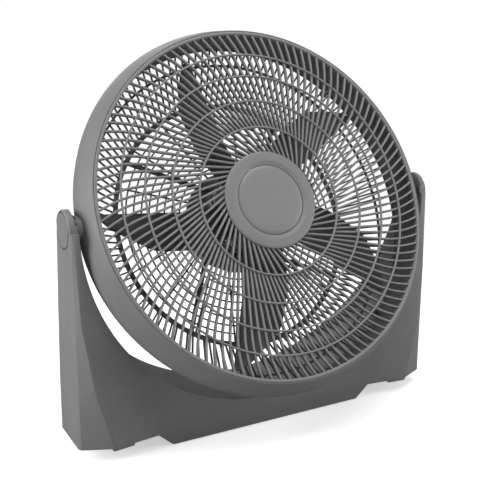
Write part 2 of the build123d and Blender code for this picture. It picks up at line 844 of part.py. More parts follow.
with BuildPart() as motor_screws:
    for point in motor_screw_points():
        seat = Plane(
            origin=drum.from_local_coords(point + Vector(0, 0, motor_front)),
            x_dir=drum.x_dir,
            z_dir=drum.z_dir,
        )
        add(screw(seat, motor_screw_radius, motor_front - cover_front))
finish(motor_screws.part, "motor_screws")

# Flat plate under the motor, with four thin arms that run past the axis to the guard's band
bracket_arm_end = 2.6       # arm beyond its screw
bracket_arm_length = sqrt(bracket_screw_circle**2 - bracket_arm_offset**2) + bracket_arm_end
with BuildPart() as motor_bracket:
    with BuildSketch(drum.offset(bracket_back)):
        with BuildLine():
            Polyline(*cut_square(motor_half_side), close=True)
        make_face()
        for angle in bracket_arm_angles:
            with Locations(Location(polar(bracket_arm_offset, angle - 90), (0, 0, 1), angle)):
                Rectangle(bracket_arm_length, bracket_arm_width, align=(Align.MIN, Align.CENTER))
        RegularPolygon(bearing_radius + motor_wall, 8, mode=Mode.SUBTRACT)
        with Locations(*motor_screw_points()):
            RegularPolygon(motor_screw_radius + screw_clearance, screw_sides, mode=Mode.SUBTRACT)
        with Locations(*[polar(bracket_screw_circle, angle) for angle in bracket_screw_angles]):
            RegularPolygon(screw_radius + screw_clearance, screw_sides, mode=Mode.SUBTRACT)
    extrude(amount=bracket_thickness)
finish(motor_bracket.part, "motor_bracket")


# ---- Rear guard ----

def guard_opening(angle, pitch, inner_radius, outer_radius):
    """Gap between two neighbouring ribs of the guard's back, with a point midway on each ring."""
    points = []
    for edge_angle, offset in ((angle, guard_rib_width / 2), (angle + pitch, -guard_rib_width / 2)):
        start = polar(guard_plate_radius, edge_angle)
        end = polar(guard_corner_radius, edge_angle + guard_sweep)
        heading = (end - start).normalized()
        start += Vector(-heading.Y, heading.X) * offset
        points.append([at_radius(start, heading, radius) for radius in (inner_radius, outer_radius)])
    right, left = points
    inner_middle = (right[0] + left[0]).normalized() * inner_radius
    outer_middle = (right[1] + left[1]).normalized() * outer_radius
    return [*right, outer_middle, *reversed(left), inner_middle]


def cone_radius(depth):
    """Outer radius of the guard's cone at a depth."""
    share = (depth - cover_front) / (guard_flange_back - cover_front)
    return guard_corner_radius + share * (cone_end_radius - guard_corner_radius)


flange_inner = duct_radius - 1
cone_end_radius = flange_inner + guard_rib_depth + 1
back_pitch = 360 / guard_back_ribs
guard_zones = zip(
    [guard_plate_radius, *[radius + guard_ring_width / 2 for radius in guard_ring_radii]],
    [
        *[radius - guard_ring_width / 2 for radius in guard_ring_radii],
        guard_corner_radius - guard_band_width,
    ],
)
with BuildPart() as rear_grille:
    openings = [
        guard_opening(guard_start_angle + rib * back_pitch, back_pitch, inner_radius, outer_radius)
        for inner_radius, outer_radius in guard_zones
        for rib in range(guard_back_ribs)
    ]
    with BuildSketch(drum.offset(cover_front)):
        add(pierced(guard_corner_radius, openings))
        Circle(guard_hole_radius, mode=Mode.SUBTRACT)
    extrude(amount=guard_rib_depth)
    # Straight ribs of the cone between the back and the flange, with a ring round them
    with BuildSketch(drum_section):
        with BuildLine():
            Polyline(
                (guard_corner_radius - guard_rib_depth, cover_front),
                (guard_corner_radius, cover_front),
                (cone_end_radius, guard_flange_back),
                (cone_end_radius - guard_rib_depth, guard_flange_back),
                close=True,
            )
        make_face()
    side_rib = extrude(amount=guard_rib_width / 2, both=True, mode=Mode.PRIVATE)
    side_pitch = 360 / guard_side_ribs
    for rib in range(guard_side_ribs):
        add(side_rib.rotate(drum_axis, rib * side_pitch))
    side_ring_depth = guard_flange_back - guard_side_ring_drop
    side_ring_radius = cone_radius(side_ring_depth)
    with BuildSketch(drum.offset(side_ring_depth)):
        RegularPolygon(side_ring_radius, guard_side_ribs)
        RegularPolygon(side_ring_radius - guard_ring_width, guard_side_ribs, mode=Mode.SUBTRACT)
    extrude(amount=guard_ring_width)
    # Flange on the end of the drum wall, with a lug at each screw
    with BuildSketch(drum.offset(guard_flange_back)):
        Circle(shell_rear_radius)
        Circle(flange_inner, mode=Mode.SUBTRACT)
        for angle in guard_screw_angles:
            with Locations(Location(polar(guard_lug_radius, angle), (0, 0, 1), angle)):
                Rectangle(2 * guard_boss_half, guard_lug_width)
    extrude(amount=guard_flange)
    # Screw holes
    with BuildSketch(drum.offset(cover_front)):
        places = [polar(guard_lug_radius, angle) for angle in guard_screw_angles]
        places += [polar(bracket_screw_circle, angle) for angle in bracket_screw_angles]
        places += [polar(cover_screw_circle, angle) for angle in cover_screw_angles]
        with Locations(*places):
            RegularPolygon(screw_radius + screw_clearance, screw_sides)
    extrude(amount=shell_rear_depth - cover_front, mode=Mode.SUBTRACT)
finish(rear_grille.part, "rear_grille")


def drum_screws(radius, angles, seat_depth, length):
    """Screws parallel to the drum's axis, driven from behind."""
    with BuildPart() as group:
        for angle in angles:
            seat = Plane(
                origin=drum.from_local_coords(polar(radius, angle) + Vector(0, 0, seat_depth)),
                x_dir=drum.x_dir,
                z_dir=-drum.z_dir,
            )
            add(screw(seat, screw_radius, length))
    return group.part


grille_screws = drum_screws(guard_lug_radius, guard_screw_angles, guard_flange_back, 16)
finish(grille_screws, "grille_screws")
bracket_screws = drum_screws(
    bracket_screw_circle, bracket_screw_angles, cover_front, guard_rib_depth + bracket_thickness
)
finish(bracket_screws, "bracket_screws")


# ---- Motor cover with its knob, switch, capacitor and gland ----

knob_centre = Vector(*knob_offset)
with BuildPart() as motor_cover:
    with BuildSketch(drum.offset(cover_back)):
        Circle(cover_radius)
    extrude(amount=cover_length)
    with BuildSketch(drum.offset(cover_back + cover_wall)):
        Circle(cover_radius - cover_wall)
        with Locations(*[polar(cover_screw_circle, angle) for angle in cover_screw_angles]):
            Rectangle(2 * cover_boss_half, 2 * cover_boss_half, mode=Mode.SUBTRACT)
    extrude(amount=cover_length, mode=Mode.SUBTRACT)
    with BuildSketch(drum.offset(cover_back)):
        with Locations(*[polar(cover_screw_circle, angle) for angle in cover_screw_angles]):
            RegularPolygon(screw_radius + screw_clearance, screw_sides)
        with Locations(knob_centre):
            Circle(knob_stem_radius + cover_clearance + 0.1)
        for row in range(vent_count):
            with Locations((0, -vent_spacing * (row - (vent_count - 1) / 2) + vent_middle)):
                Rectangle(vent_length, vent_width)
    extrude(amount=cover_length, mode=Mode.SUBTRACT)
    with BuildSketch(gland_plane):
        RegularPolygon(gland_radius + screw_clearance, gland_sides)
    extrude(amount=cover_radius, mode=Mode.SUBTRACT)
finish(motor_cover.part, "motor_cover")

cover_screws = drum_screws(
    cover_screw_circle, cover_screw_angles, cover_back, cover_length + guard_rib_depth
)
finish(cover_screws, "cover_screws")

with BuildPart() as cord_gland:
    for start, length, radius in (
        (cover_radius - cover_wall - 3.2, 2.2, gland_radius + 2),
        (cover_radius - cover_wall - 1, cover_wall + 1, gland_radius),
        (cover_radius, 2.5, gland_radius + 2),
    ):
        with BuildSketch(gland_plane.offset(start)):
            RegularPolygon(radius, gland_sides)
        extrude(amount=length)
    with BuildSketch(gland_plane):
        RegularPolygon(gland_bore_radius, gland_sides)
    extrude(amount=2 * cover_radius, mode=Mode.SUBTRACT)
finish(cord_gland.part, "cord_gland")

with BuildPart() as speed_switch:
    with BuildSketch(drum.offset(cover_back + cover_wall)):
        with Locations(knob_centre):
            Rectangle(switch_side, switch_side)
            Circle(knob_stem_radius + running_fit, mode=Mode.SUBTRACT)
    extrude(amount=switch_depth)
finish(speed_switch.part, "speed_switch")

with BuildPart() as run_capacitor:
    with BuildSketch(drum.offset(cover_back + cover_wall)):
        with Locations(capacitor_place):
            Rectangle(capacitor_length, capacitor_width)
    extrude(amount=capacitor_depth)
finish(run_capacitor.part, "run_capacitor")

with BuildPart() as speed_knob:
    with BuildSketch(drum.offset(cover_back - knob_gap - knob_length)):
        with Locations(knob_centre):
            Circle(knob_radius)
    extrude(amount=knob_length)
    with BuildSketch(drum.offset(cover_back - knob_gap - knob_length)):
        with Locations(knob_centre):
            for side in (1, -1):
                with Locations((side * knob_radius, 0)):
                    Rectangle(2 * knob_radius - knob_grip, 2 * knob_radius)
    extrude(amount=knob_length - knob_base, mode=Mode.SUBTRACT)
    with BuildSketch(drum.offset(cover_back - knob_gap - 1)):
        with Locations(knob_centre):
            Circle(knob_stem_radius)
    extrude(amount=knob_gap + 1 + cover_wall + switch_depth / 2)
finish(speed_knob.part, "speed_knob")
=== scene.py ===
import json
from math import cos, pi, radians, sin, sqrt, tan, tau

import bpy
from mathutils import Matrix, Vector

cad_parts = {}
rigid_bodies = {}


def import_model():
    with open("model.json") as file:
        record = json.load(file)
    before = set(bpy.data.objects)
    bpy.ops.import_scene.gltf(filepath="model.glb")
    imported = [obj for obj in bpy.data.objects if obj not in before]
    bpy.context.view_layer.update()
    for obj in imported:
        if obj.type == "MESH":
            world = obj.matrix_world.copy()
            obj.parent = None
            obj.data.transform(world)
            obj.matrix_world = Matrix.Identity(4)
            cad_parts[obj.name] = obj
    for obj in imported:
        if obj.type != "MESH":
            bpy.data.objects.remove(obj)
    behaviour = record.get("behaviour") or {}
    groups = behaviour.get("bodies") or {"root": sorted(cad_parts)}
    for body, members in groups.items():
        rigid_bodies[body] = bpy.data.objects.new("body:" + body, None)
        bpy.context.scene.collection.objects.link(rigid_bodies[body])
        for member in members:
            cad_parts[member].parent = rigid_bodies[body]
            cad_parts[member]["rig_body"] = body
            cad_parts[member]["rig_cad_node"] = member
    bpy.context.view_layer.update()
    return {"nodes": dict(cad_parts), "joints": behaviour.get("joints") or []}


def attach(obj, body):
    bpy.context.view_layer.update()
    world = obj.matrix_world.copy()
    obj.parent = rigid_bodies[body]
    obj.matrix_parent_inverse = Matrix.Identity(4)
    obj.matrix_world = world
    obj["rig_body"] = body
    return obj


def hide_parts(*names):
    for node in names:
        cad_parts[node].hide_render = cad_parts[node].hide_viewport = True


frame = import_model()
mm = 0.001

# ---- The studio ----
# The fan stands on a white table in front of white paper, with the camera a little over a
# metre away, to the left of the fan and just above it. One large soft light hangs overhead, a
# second stands on the left, and weak ones fill the right, the front and the rear.

tilt_joint = next(joint for joint in frame["joints"] if joint["name"] == "drum_tilt")
spin_joint = next(joint for joint in frame["joints"] if joint["name"] == "fan_spin")
pivot = Vector(tilt_joint["pos_m"])

camera_azimuth = radians(28.44)
camera_elevation = radians(14.68)
camera_lens = 64.0
camera_place = pivot + Vector((-0.5703, -1.0018, 0.2556))
camera_aim = Vector((
    sin(camera_azimuth) * cos(camera_elevation),
    cos(camera_azimuth) * cos(camera_elevation),
    -sin(camera_elevation),
))
bpy.ops.object.select_all(action="DESELECT")
bpy.ops.object.camera_add(
    location=camera_place, rotation=camera_aim.to_track_quat("-Z", "Y").to_euler()
)
camera = bpy.context.object
camera.name = "camera"
camera.data.lens = camera_lens
camera.data.clip_start = 10 * mm
bpy.context.scene.camera = camera
bpy.context.scene.view_settings.view_transform = "Standard"


def soft_light(name, place, aim, width, height, strength):
    """A square of light that faces a point. The strength is what a white sheet there would show."""
    heading = Vector(aim) - Vector(place)
    bpy.ops.object.light_add(
        type="AREA", location=place, rotation=heading.to_track_quat("-Z", "Y").to_euler()
    )
    lamp = bpy.context.object
    lamp.name = name
    lamp.data.shape = "RECTANGLE"
    lamp.data.size = width
    lamp.data.size_y = height
    lamp.data.energy = strength * pi**2 * heading.length**2


fan_middle = pivot + Vector((0, 0, -0.03))
soft_light("overhead_light", (0.1, -0.35, 2.0), fan_middle, 1.5, 1.5, 0.82)
soft_light("left_light", (-2.0, 0.1, 0.9), fan_middle, 1.2, 1.4, 0.96)
soft_light("right_light", (2.0, -1.2, 0.7), fan_middle, 1.2, 1.4, 0.44)
soft_light("front_light", (-0.3, -2.4, 0.7), fan_middle, 1.4, 1.2, 0.12)
soft_light("rear_light", (0.3, 2.2, 1.2), fan_middle, 1.4, 1.2, 0.16)


def add_node(tree, kind, inputs, **settings):
    """A node with its settings and inputs. An input is a value or the socket that feeds it."""
    node = tree.nodes.new("ShaderNode" + kind)
    for label, value in settings.items():
        setattr(node, label, value)
    for label, value in inputs.items():
        if isinstance(value, bpy.types.NodeSocket):
            tree.links.new(value, node.inputs[label])
        else:
            node.inputs[label].default_value = value
    return node


# The paper looks white, but its light on the fan is dim.
white = (1, 1, 1, 1)
paper_light = 0.13
world = bpy.data.worlds.new("paper")
bpy.context.scene.world = world
world.use_nodes = True
tree = world.node_tree
tree.nodes.clear()
path = add_node(tree, "LightPath", {})
seen = add_node(tree, "Math", {
    0: path.outputs["Is Camera Ray"], 1: path.outputs["Is Transmission Ray"],
}, operation="MAXIMUM")
dim_paper = add_node(tree, "Background", {"Color": white, "Strength": paper_light})
white_paper = add_node(tree, "Background", {"Color": white, "Strength": 1.0})
mix = add_node(tree, "MixShader", {
    "Fac": seen.outputs[0], 1: dim_paper.outputs[0], 2: white_paper.outputs[0],
})
add_node(tree, "OutputWorld", {"Surface": mix.outputs[0]})

# The table looks white and throws little light back. Away from the fan it runs into the paper.
table_size = 14.0
table_bounce = 0.35
table_tone = 0.95
table_glow = 0.5
fade_start = 0.4            # metres from the middle
fade_end = 1.3
bpy.ops.mesh.primitive_plane_add(size=table_size)
table_top = bpy.context.object
table_top.name = "table_top"
table_finish = bpy.data.materials.new("white_table")
table_finish.use_nodes = True
tree = table_finish.node_tree
tree.nodes.clear()
path = add_node(tree, "LightPath", {})
bounce = add_node(tree, "BsdfDiffuse", {"Color": (*[table_bounce] * 3, 1)})
shown = add_node(tree, "BsdfDiffuse", {"Color": (*[table_tone] * 3, 1)})
glow = add_node(tree, "Emission", {"Color": white, "Strength": table_glow})
lit = add_node(tree, "AddShader", {0: shown.outputs[0], 1: glow.outputs[0]})
spot = add_node(tree, "TexCoord", {})
reach = add_node(tree, "VectorMath", {0: spot.outputs["Object"]}, operation="LENGTH")
fade = add_node(tree, "MapRange", {
    "Value": reach.outputs["Value"], "From Min": fade_start, "From Max": fade_end,
}, interpolation_type="SMOOTHSTEP")
far_table = add_node(tree, "Emission", {"Color": white})
faded = add_node(tree, "MixShader", {
    "Fac": fade.outputs["Result"], 1: lit.outputs[0], 2: far_table.outputs[0],
})
mix = add_node(tree, "MixShader", {
    "Fac": path.outputs["Is Camera Ray"], 1: bounce.outputs[0], 2: faded.outputs[0],
})
add_node(tree, "OutputMaterial", {"Surface": mix.outputs[0]})
table_top.data.materials.append(table_finish)

# ---- Base ----
# The base is a front shell and a rear cover, moulded in dark grey plastic with a fine matt grain.
# The shell carries the two legs and the cradle, and the cover is screwed on from behind.

weld = 0.004 * mm           # corners closer than this are one
flat = radians(0.6)         # and faces that turn less than this are one
plastic_specular = 0.35
plastic_gloss_drift = 0.05
grain_strength = 0.35
grain_depth = 0.12 * mm


def effect(name, inputs, outputs):
    """An empty node group with named values in and out."""
    group = bpy.data.node_groups.new(name, "ShaderNodeTree")
    for label, value in inputs.items():
        socket = group.interface.new_socket(label, in_out="INPUT", socket_type="NodeSocketFloat")
        socket.default_value = value
    for label in outputs:
        group.interface.new_socket(label, in_out="OUTPUT", socket_type="NodeSocketFloat")
    return group, group.nodes.new("NodeGroupInput"), group.nodes.new("NodeGroupOutput")


def noise(tree, place, scale, detail):
    """A noise texture on the piece's own coordinates."""
    inputs = {"Vector": place, "Scale": scale, "Detail": detail}
    return add_node(tree, "TexNoise", inputs).outputs["Fac"]


def stretch(tree, value, low, high):
    """A value of about 0.3 to 0.7 spread from low to high."""
    return add_node(tree, "MapRange", {
        "Value": value, "From Min": 0.3, "From Max": 0.7, "To Min": low, "To Max": high,
    }).outputs["Result"]


def surfaced(tree, tone, shades, gloss, height, strength, depth):
    """Give a finish a tone between two shades, a gloss and a relief."""
    tint = add_node(tree, "Mix", {
        "Factor": stretch(tree, tone, 0.0, 1.0), "A": (*shades[0], 1), "B": (*shades[1], 1),
    }, data_type="RGBA")
    bump = add_node(tree, "Bump", {"Height": height, "Strength": strength, "Distance": depth})
    shader = tree.nodes["Principled BSDF"]
    tree.links.new(tint.outputs["Result"], shader.inputs["Base Color"])
    tree.links.new(gloss, shader.inputs["Roughness"])
    tree.links.new(bump.outputs["Normal"], shader.inputs["Normal"])
    return shader


# Spark-eroded mould grain: a fine pebble, a slow drift of tone, and faint rubbed patches.
grain, grain_in, grain_out = effect("mould_grain", {"Pebble": 1.0}, ("Height", "Tone", "Sheen"))
place = add_node(grain, "TexCoord", {}).outputs["Object"]
pebble = add_node(grain, "Math", {
    0: noise(grain, place, 1400.0, 3.0), 1: grain_in.outputs["Pebble"],
}, operation="MULTIPLY")
grain.links.new(pebble.outputs[0], grain_out.inputs["Height"])
grain.links.new(noise(grain, place, 11.0, 5.0), grain_out.inputs["Tone"])
grain.links.new(noise(grain, place, 34.0, 6.0), grain_out.inputs["Sheen"])


def moulded_plastic(name, colour, roughness, pebble=1.0, drift=0.06):
    """Grained moulded plastic: tone and gloss wander a little, and the grain catches the light."""
    finish = bpy.data.materials.new(name)
    finish.use_nodes = True
    tree = finish.node_tree
    surface = add_node(tree, "Group", {"Pebble": pebble}, node_tree=grain)
    shades = [[c * (1 - drift) for c in colour], [c * (1 + drift) for c in colour]]
    gloss = stretch(
        tree, surface.outputs["Sheen"],
        roughness - plastic_gloss_drift, roughness + plastic_gloss_drift,
    )
    shader = surfaced(
        tree, surface.outputs["Tone"], shades, gloss,
        surface.outputs["Height"], grain_strength, grain_depth,
    )
    shader.inputs["Specular IOR Level"].default_value = plastic_specular
    return finish


def dress(piece, finish, body, replaced=()):
    """Give a piece its one finish, say what it moves with, and hide the CAD parts it replaces."""
    piece.data.materials.clear()
    piece.data.materials.append(finish)
    if "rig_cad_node" not in piece:
        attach(piece, body)
    if replaced:
        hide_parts(*replaced)


def pick(*pieces):
    """Select these pieces alone."""
    bpy.ops.object.select_all(action="DESELECT")
    for piece in pieces:
        piece.select_set(True)
    bpy.context.view_layer.objects.active = pieces[0]


def smooth(piece, angle):
    """Smooth shading that keeps edges sharper than the angle."""
    pick(piece)
    bpy.ops.object.shade_smooth_by_angle(angle=radians(angle))


def break_edges(piece, width, angle=30):
    """Round off the edges of the active piece that are sharper than the angle."""
    bevel = piece.modifiers.new("edge", "BEVEL")
    bevel.width = width
    bevel.segments = 2
    bevel.limit_method = "ANGLE"
    bevel.angle_limit = radians(angle)
    bpy.ops.object.modifier_apply(modifier="edge")


def softened_copy(node, edge, angle=20):
    """A CAD piece with its edges broken as a mould leaves them."""
    piece = frame["nodes"][node].copy()
    piece.data = piece.data.copy()
    bpy.context.scene.collection.objects.link(piece)
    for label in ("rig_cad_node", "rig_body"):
        del piece[label]
    piece.parent = None
    piece.name = node + "_moulding"
    pick(piece)
    bpy.ops.object.mode_set(mode="EDIT")
    bpy.ops.mesh.select_all(action="SELECT")
    bpy.ops.mesh.remove_doubles(threshold=weld)
    bpy.ops.mesh.customdata_custom_splitnormals_clear()
    bpy.ops.mesh.dissolve_limited(angle_limit=flat)
    bpy.ops.object.mode_set(mode="OBJECT")
    break_edges(piece, edge, angle)
    smooth(piece, 32)
    return piece


base_plastic = moulded_plastic("base_plastic", (0.190, 0.184, 0.186), 0.52)
base_front = softened_copy("base_front_shell", 0.9 * mm)
dress(base_front, base_plastic, "base", ["base_front_shell"])
base_rear = softened_copy("base_rear_cover", 0.5 * mm)
dress(base_rear, base_plastic, "base", ["base_rear_cover"])

# ---- Drum wall ----
# The drum is one deep moulded ring of matt grey plastic: a plain duct inside, a flared skirt
# outside, and a boss on each side that takes the tilt bolt. Its mouth has a thin lip.

rightward = Vector((1, 0, 0))
forward = Vector(spin_joint["axis"])
upward = forward.cross(rightward)
drum_place = Matrix.Translation(pivot) @ Matrix((rightward, upward, forward)).transposed().to_4x4()


def joined(name, pieces):
    """Pieces of one moulding made one object."""
    pick(*pieces)
    bpy.ops.object.join()
    bpy.context.object.name = name
    return bpy.context.object


def eased(corners, steps=3, closed=True):
    """An outline whose corners (across, along, easing) are rounded off."""
    outline = []
    for index, (across, along, ease) in enumerate(corners):
        corner = Vector((across, along))
        at_end = not closed and index in (0, len(corners) - 1)
        if at_end or not ease:
            outline.append(corner)
            continue
        before = (Vector(corners[index - 1][:2]) - corner).normalized() * ease
        after = (Vector(corners[(index + 1) % len(corners)][:2]) - corner).normalized() * ease
        for step in range(steps + 1):
            share = step / steps
            outline.append(corner + before * (1 - share) ** 2 + after * share**2)
    return outline


def turned(name, corners, steps=160, closed=True):
    """A ring or disc turned about the drum's axis from its outline of radius and depth."""
    points = [Vector((radius, 0, depth)) * mm for radius, depth in eased(corners, closed=closed)]
    bpy.ops.object.select_all(action="DESELECT")
    bpy.ops.mesh.primitive_plane_add(size=mm)
    bpy.ops.object.mode_set(mode="EDIT")
    bpy.ops.mesh.select_all(action="SELECT")
    bpy.ops.mesh.merge(type="CENTER")
    bpy.ops.transform.translate(value=points[0])
    for before, after in zip(points, points[1:] + (points[:1] if closed else [])):
        bpy.ops.mesh.extrude_region_move(TRANSFORM_OT_translate={"value": after - before})
    bpy.ops.mesh.select_all(action="SELECT")
    bpy.ops.mesh.spin(steps=steps, angle=tau, center=(0, 0, 0), axis=(0, 0, 1))
    bpy.ops.mesh.select_all(action="SELECT")
    bpy.ops.mesh.remove_doubles(threshold=weld)
    bpy.ops.mesh.normals_make_consistent(inside=False)
    bpy.ops.object.mode_set(mode="OBJECT")
    piece = bpy.context.object
    piece.name = name
    smooth(piece, 35)
    return piece


drum_plastic = moulded_plastic("drum_plastic", (0.180, 0.176, 0.178), 0.5)
wall_ring = turned("drum_wall", [
    (243.7, 35.8, 0.3), (243.7, 40.0, 0.7), (245.0, 40.0, 0.7), (257.0, 14.0, 5.0),
    (259.0, 4.5, 3.5), (256.0, -12.0, 6.0), (252.0, -22.0, 0.5), (249.4, -22.0, 0.5),
    (255.8, 4.5, 3.0), (253.8, 13.0, 3.0), (246.9, 29.0, 1.0), (246.7, -22.0, 0.4),
    (244.5, -22.0, 0.4), (244.5, 35.8, 0.2),
], steps=256)
wall_ring.data.transform(drum_place)
boss_radius = 17.0
boss_inner = 247.0
boss_face = 262.0
boss_edge = 0.8
bosses = []
for side in (1, -1):
    bpy.ops.object.select_all(action="DESELECT")
    bpy.ops.mesh.primitive_cylinder_add(
        vertices=64, radius=boss_radius * mm, depth=(boss_face - boss_inner) * mm,
        location=pivot + Vector((side * (boss_inner + boss_face) / 2 * mm, 0, 0)),
        rotation=(0, pi / 2, 0),
    )
    boss = bpy.context.object
    bpy.ops.object.transform_apply(location=True, rotation=True, scale=True)
    break_edges(boss, boss_edge * mm)
    smooth(boss, 35)
    bosses.append(boss)
drum_wall = joined("drum_wall", [wall_ring, *bosses])
dress(drum_wall, drum_plastic, "drum", ["drum_shroud"])

# ---- Front grille ----
# The guard is one moulding: a disc, 57 long ribs that sweep out to the rim, 57 shorter ones
# between them from the first ring on, and four fine rings laid over the ribs. Every rib leans
# over further as it passes the last ring. The guard snaps into the mouth of the drum.

rib_count = 57
rib_width = 2.9
rib_front = 39.4
rib_thickness = 5.4
rib_edge = 0.9
rib_bite = 1.5              # how far a rib's root reaches into the disc
bend_ease = 24.0            # length of a rib's curve, each way from the last ring
bend_steps = 6
disc_edge = 67.6
ring_radii = (103.1, 140.8, 177.1, 209.0)
ring_half = 1.25
ring_bite = 0.6             # a short rib starts this far inside the first ring's middle
rim_radius = 243.5
rim_inner = 238.9
rib_turn = 28.2             # a rib's turn from the disc to the last ring
rim_turn = 32.2             # and from the disc to the rim


def polar(radius, angle, depth=0.0):
    """A point round the drum's axis, counter-clockwise from the right."""
    return Vector((radius * cos(radians(angle)), radius * sin(radians(angle)), depth))


def bar(name, path, width, thickness, ease):
    """A bar of eased section along points in millimetres, its width across the drum's axis."""
    path = [Vector(point) * mm for point in path]
    heading = (path[1] - path[0]).normalized()
    across = Vector((0, 0, 1)).cross(heading).normalized()
    section = Matrix((across, heading.cross(across), heading)).transposed()
    bpy.ops.object.select_all(action="DESELECT")
    bpy.ops.mesh.primitive_plane_add(size=1, location=path[0], rotation=section.to_euler())
    piece = bpy.context.object
    piece.name = name
    piece.scale = (width * mm, thickness * mm, 1)
    bpy.ops.object.transform_apply(location=True, rotation=True, scale=True)
    bpy.ops.object.mode_set(mode="EDIT")
    bpy.ops.mesh.select_all(action="SELECT")
    for before, after in zip(path, path[1:]):
        bpy.ops.mesh.extrude_region_move(TRANSFORM_OT_translate={"value": after - before})
    bpy.ops.mesh.select_all(action="SELECT")
    bpy.ops.mesh.normals_make_consistent(inside=False)
    bpy.ops.object.mode_set(mode="OBJECT")
    break_edges(piece, ease * mm, 50)
    smooth(piece, 50)
    return piece


def copied(piece, places):
    """Copies of a piece, one for each matrix, in place of the piece."""
    copies = []
    for place in places:
        copy = piece.copy()
        copy.data = piece.data.copy()
        copy.data.transform(place)
        bpy.context.scene.collection.objects.link(copy)
        copies.append(copy)
    bpy.data.objects.remove(piece)
    return copies


def all_round(piece, count, start=0.0):
    """Copies of a piece all round the drum's axis, in place of the piece."""
    turns = [radians(start + 360 * turn / count) for turn in range(count)]
    return copied(piece, [Matrix.Rotation(turn, 4, "Z") for turn in turns])


grille_plastic = moulded_plastic("grille_plastic", (0.215, 0.210, 0.212), 0.46)
rib_depth = rib_front - rib_thickness / 2
rib_start = polar(disc_edge, 0.0)
rib_bend = polar(ring_radii[-1], rib_turn)
rib_end = polar(rim_inner + 1.0, rim_turn + 0.1)
first_run = (rib_bend - rib_start).normalized()
along = rib_start.dot(first_run)
ring_one = rib_start + first_run * (
    sqrt(along**2 - disc_edge**2 + (ring_radii[0] - ring_bite) ** 2) - along
)
rib_corners = [(*rib_start[:2], 0), (*rib_bend[:2], bend_ease), (*rib_end[:2], 0)]
bends = [Vector((*point, 0)) for point in eased(rib_corners, bend_steps, False)]
pieces = []
for start, turn in ((rib_start - first_run * rib_bite, 0.0), (ring_one, 180 / rib_count)):
    path = [point + Vector((0, 0, rib_depth)) for point in (start, *bends[1:])]
    pieces += all_round(bar("rib", path, rib_width, rib_thickness, rib_edge), rib_count, turn)
for radius in ring_radii:
    pieces.append(turned("ring", [
        (radius - ring_half, 38.2, 0.5), (radius + ring_half, 38.2, 0.5),
        (radius + ring_half, 41.4, 1.1), (radius - ring_half, 41.4, 1.1),
    ], steps=228))
pieces.append(turned("rim", [
    (rim_inner, 32.2, 0.6), (rim_radius, 32.2, 0.4), (rim_radius, 40.6, 1.6), (rim_inner, 40.6, 1.6),
], steps=256))
pieces.append(turned("disc", [
    (48.95, 34.2, 0.3), (66.0, 34.2, 1.0), (disc_edge, 36.0, 1.0), (disc_edge, 41.2, 1.3),
    (65.6, 42.3, 2.0), (54.4, 42.5, 1.8), (50.8, 40.9, 1.2), (49.0, 40.6, 0.3),
], steps=160))
front_grille = joined("front_guard", pieces)
front_grille.data.transform(drum_place)
dress(front_grille, grille_plastic, "drum", ["front_grille"])

# ---- Centre badge ----
# A round plate snaps into the middle of the grille. It is a little smoother than the grille,
# slightly crowned, with a soft groove round it, and it is bare.

badge_plastic = moulded_plastic("badge_plastic", (0.225, 0.220, 0.222), 0.4, pebble=0.6)
badge = turned("centre_plate", [
    (0.0, 34.4, 0), (48.6, 34.4, 0.3), (48.6, 40.3, 1.0), (44.8, 41.9, 2.2), (30.0, 42.4, 6.0),
    (0.0, 42.5, 0),
], steps=128, closed=False)
badge.data.transform(drum_place)
dress(badge, badge_plastic, "drum", ["centre_badge"])

# ---- Blade ----
# Five broad blades and their hub are one moulding in a darker, smoother plastic. Each blade is
# a hollowed paddle with a straight leading edge at the back and a slanted, rounded tip.

blade_count = 5
blade_start = 31.9
blade_thickness = 2.4
blade_edge = 0.9
blade_hollow = 0.08         # camber, as a share of the width
# Rows out along the leading edge: radius, start beside its line, width, depth, pitch angle
blade_rows = [
    (30.0, -16.0, 50.0, -19.0, 26.0), (60.0, -8.3, 53.4, -16.1, 23.6), (92.0, 0.0, 57.0, -13.0, 21.0),
    (126.0, 0.0, 56.2, -11.0, 19.0), (152.0, 0.0, 55.6, -9.5, 17.6), (164.0, 0.0, 53.8, -9.0, 17.0),
    (176.0, 0.0, 45.8, -8.5, 17.0), (198.0, 0.0, 33.0, -8.0, 17.0), (215.0, 0.0, 20.5, -7.0, 17.0),
    (224.0, 0.0, 11.5, -6.4, 17.0), (227.0, 1.0, 5.0, -6.0, 17.0),
]
blade_columns = 6
bpy.ops.object.select_all(action="DESELECT")
bpy.ops.mesh.primitive_grid_add(
    x_subdivisions=len(blade_rows) - 1, y_subdivisions=blade_columns, size=1
)
blade = bpy.context.object
blade.name = "blade"
for vertex in blade.data.vertices:
    row = round((vertex.co.x + 0.5) * (len(blade_rows) - 1))
    share = vertex.co.y + 0.5
    radius, start, width, depth, pitch = blade_rows[row]
    hollow = 4 * blade_hollow * width * share * (1 - share)
    rise = width * share * tan(radians(pitch))
    vertex.co = Vector((radius, start + width * share, depth + rise - hollow)) * mm
finer = blade.modifiers.new("finer", "SUBSURF")
finer.levels = finer.render_levels = 2
sheet = blade.modifiers.new("sheet", "SOLIDIFY")
sheet.thickness = blade_thickness * mm
sheet.offset = 1.0
for label in ("finer", "sheet"):
    bpy.ops.object.modifier_apply(modifier=label)
break_edges(blade, blade_edge * mm, 50)
smooth(blade, 45)
hub = turned("hub", [
    (10.0, -24.0, 0.5), (10.0, 7.0, 1.0), (49.5, 6.0, 2.0), (49.5, -24.0, 0.5), (52.5, -24.0, 0.6),
    (52.5, 6.0, 3.0), (48.5, 10.0, 2.5), (16.0, 10.0, 1.0), (15.0, 8.4, 0.5), (4.1, 8.4, 0.2),
    (4.1, -24.0, 0.2),
], steps=96)
fan_blade = joined("impeller", [hub, *all_round(blade, blade_count, blade_start)])
fan_blade.data.transform(drum_place)
